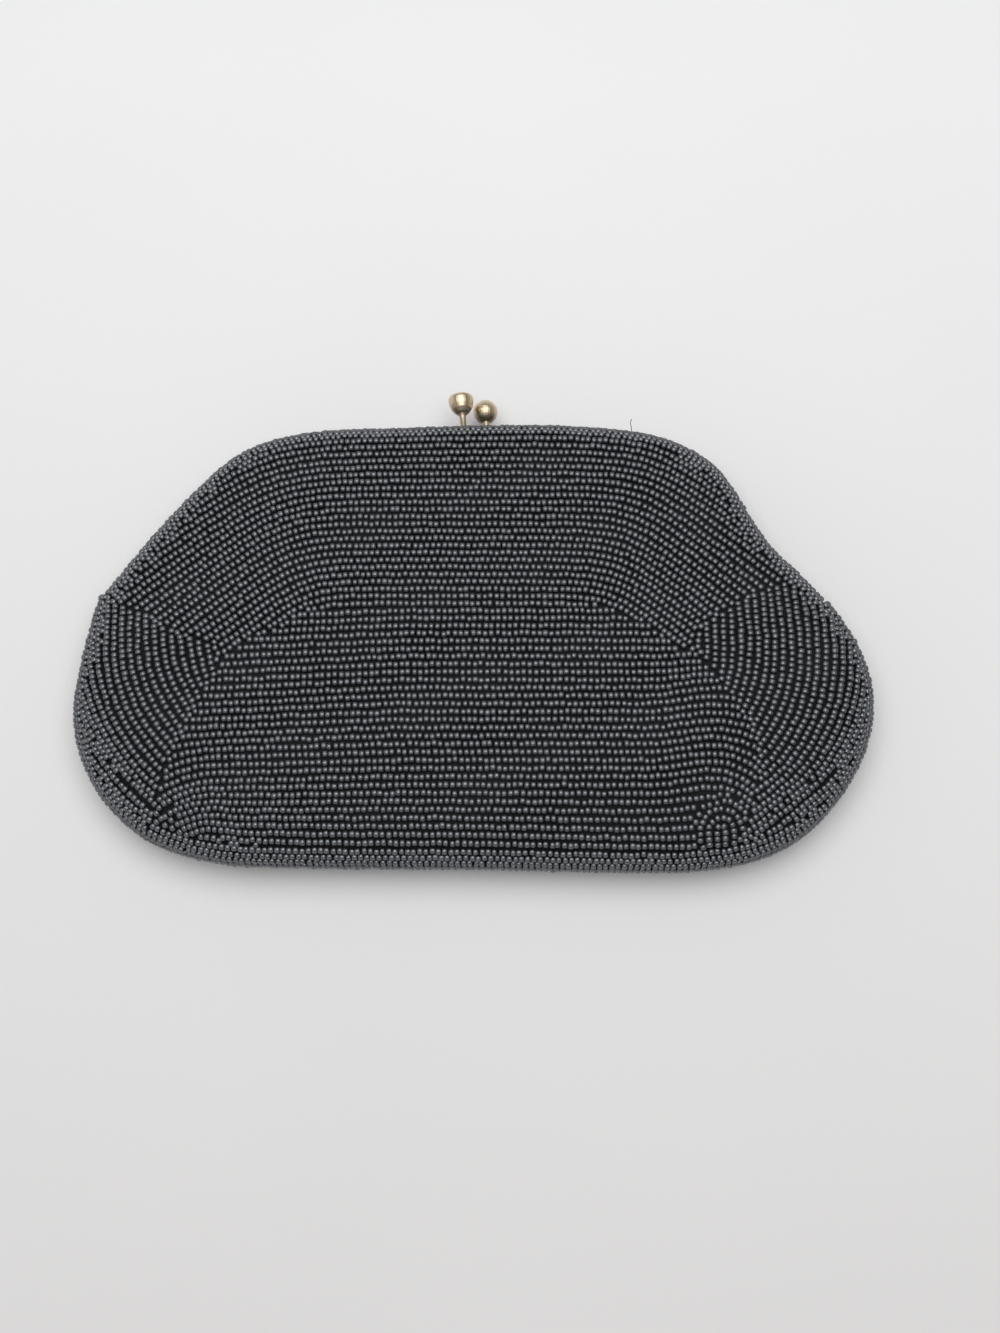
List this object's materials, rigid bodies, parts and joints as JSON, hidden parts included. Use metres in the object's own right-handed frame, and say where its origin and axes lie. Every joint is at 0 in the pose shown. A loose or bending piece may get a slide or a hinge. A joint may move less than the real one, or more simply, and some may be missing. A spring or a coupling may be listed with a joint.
{
  "type": "beaded evening clutch",
  "caption": "Black beaded evening clutch with a hinged covered frame, domed front and rear panels, satin lining and a kiss-lock clasp of gilt knobs.",
  "frame": {"origin": "middle of the bottom of the whole bag's box, on the surface that the rear panel rests on", "axes": "+X along the hinge axis to the right of the front view, +Y from the bottom seam to the clasp, +Z through the thickness from the rear panel to the front panel"},
  "size_m": [0.2284, 0.1454, 0.024],
  "materials": {
    "beads": "glossy black glass seed beads sewn on black cloth",
    "lining": "black satin",
    "gilt": "polished pale gilt",
    "steel": "plain steel"
  },
  "bodies": {
    "pouch": {"rear_beaded_panel": "beads", "front_beaded_flex": "beads", "front_beaded_panel_lower": "beads", "rear_lining": "lining", "front_lining_flex": "lining", "front_lining_lower": "lining", "rear_frame_bow": "gilt", "rear_hinge_plate_left": "steel", "rear_hinge_plate_right": "steel", "hinge_rivet_left": "steel", "hinge_rivet_right": "steel", "rear_clasp_knob": "gilt"},
    "front_frame": {"front_frame_bow": "gilt", "front_beaded_panel_upper": "beads", "front_lining_upper": "lining", "front_hinge_plate_left": "steel", "front_hinge_plate_right": "steel", "front_clasp_knob": "gilt"}
  },
  "joints": [
    {"name": "frame_hinge", "type": "hinge", "parent": "pouch", "child": "front_frame", "pos_m": [0, 0.00554, 0.01], "axis": [1, 0, 0], "range_deg": [0, 75], "deforming": ["front_beaded_flex", "front_lining_flex"]}
  ]
}
